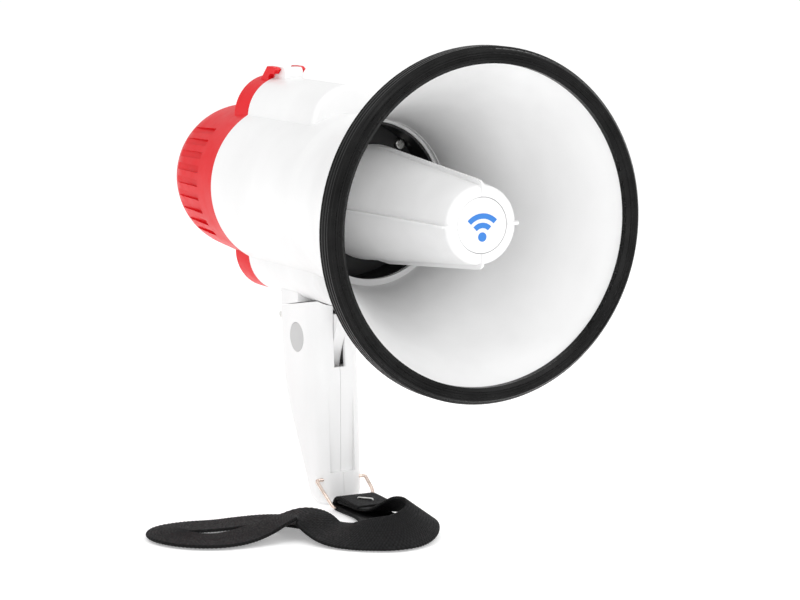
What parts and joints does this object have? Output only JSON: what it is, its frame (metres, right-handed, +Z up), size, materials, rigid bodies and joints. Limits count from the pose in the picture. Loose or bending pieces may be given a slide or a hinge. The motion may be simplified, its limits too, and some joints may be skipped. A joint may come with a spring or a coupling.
{
  "type": "handheld megaphone",
  "caption": "Handheld megaphone with a round reflex horn, rubber rim, lobed body, hinged rear cover, folding pistol grip with trigger, and a webbing wrist strap.",
  "frame": {"origin": "bottom centre of the megaphone without its strap, on the surface that the grip's foot stands on", "axes": "+X forward along the horn, +Y to the megaphone's left, +Z up"},
  "size_m": [0.265, 0.1841, 0.2325],
  "materials": {
    "white_abs": "satin moulded",
    "red_abs": "satin moulded",
    "rim_rubber": "ribbed, satin",
    "grey_abs": "matte",
    "black_abs": "matte",
    "blue_print": "raised print",
    "steel": "zinc plated",
    "ferrite": "ferrite, ground",
    "paper": "resin treated",
    "copper": "enamelled copper",
    "cell_wrap": "wrapped can",
    "board": "solder mask",
    "heat_sink": "extruded",
    "foam": "open foam",
    "ring_wire": "nickel plated wire",
    "webbing": "woven polyester"
  },
  "bodies": {
    "body": {"horn_bell": "white_abs", "rim_trim": "rim_rubber", "horn_reflector": "white_abs", "nose_badge": "white_abs", "badge_mark": "blue_print", "throat_tube": "white_abs", "driver_housing": "black_abs", "driver_screws": "steel", "driver_diaphragm": "paper", "voice_coil": "copper", "driver_top_plate": "steel", "driver_magnet": "ferrite", "driver_back_plate": "steel", "main_body": "white_abs", "battery_tray_top": "black_abs", "battery_tray_bottom": "black_abs", "battery_cells_top": "cell_wrap", "battery_cells_bottom": "cell_wrap", "battery_contacts": "steel", "amplifier_board": "board", "board_posts": "steel", "heat_sink": "heat_sink", "capacitors": "black_abs", "handle_bracket": "white_abs"},
    "cover": {"rear_cover": "red_abs", "cover_seal": "rim_rubber", "cover_hinge_pin": "steel", "mic_grille": "black_abs", "mic_foam": "foam", "mic_capsule": "heat_sink", "control_board": "board", "potentiometer": "black_abs", "mode_switch": "black_abs", "button_switches": "black_abs"},
    "volume_control": {"volume_knob": "black_abs"},
    "mode_control": {"mode_knob": "black_abs"},
    "record_key": {"record_button": "grey_abs"},
    "siren_key": {"siren_button": "grey_abs"},
    "grip": {"handle_shell_right": "white_abs", "handle_shell_left": "white_abs", "handle_plug": "grey_abs", "handle_screws": "steel", "handle_pin": "steel", "trigger_pin": "steel", "trigger_spring": "steel", "talk_switch": "black_abs"},
    "trigger_lever": {"trigger": "white_abs"},
    "ring": {"strap_ring": "ring_wire", "wrist_strap": "webbing", "strap_staple": "steel"}
  },
  "joints": [
    {"name": "cover_hinge", "type": "hinge", "parent": "body", "child": "cover", "pos_m": [-0.0666, 0, 0.2097], "axis": [0, 1, 0], "range_deg": [0, 100]},
    {"name": "volume_turn", "type": "hinge", "parent": "cover", "child": "volume_control", "pos_m": [-0.1296, -0.013, 0.14], "axis": [1, 0, 0], "range_deg": [0, 270]},
    {"name": "mode_slide", "type": "slide", "parent": "cover", "child": "mode_control", "axis": [0, 0, 1], "range_m": [0, 0.006]},
    {"name": "record_press", "type": "slide", "parent": "cover", "child": "record_key", "axis": [1, 0, 0], "range_m": [0, 0.0012], "stiffness_N_per_m": 700, "springref_m": -0.0006},
    {"name": "siren_press", "type": "slide", "parent": "cover", "child": "siren_key", "axis": [1, 0, 0], "range_m": [0, 0.0012], "stiffness_N_per_m": 700, "springref_m": -0.0006},
    {"name": "handle_fold", "type": "hinge", "parent": "body", "child": "grip", "pos_m": [-0.0513, 0, 0.0899], "axis": [0, 1, 0], "range_deg": [0, 90]},
    {"name": "trigger_pull", "type": "hinge", "parent": "grip", "child": "trigger_lever", "pos_m": [-0.021, 0, 0.0645], "axis": [0, -1, 0], "range_deg": [0, 9], "stiffness_Nm_per_rad": 0.5, "springref_deg": -8.59},
    {"name": "ring_swing", "type": "hinge", "parent": "grip", "child": "ring", "pos_m": [-0.011, 0, 0.013], "axis": [0, 1, 0], "range_deg": [-15, 60]}
  ]
}
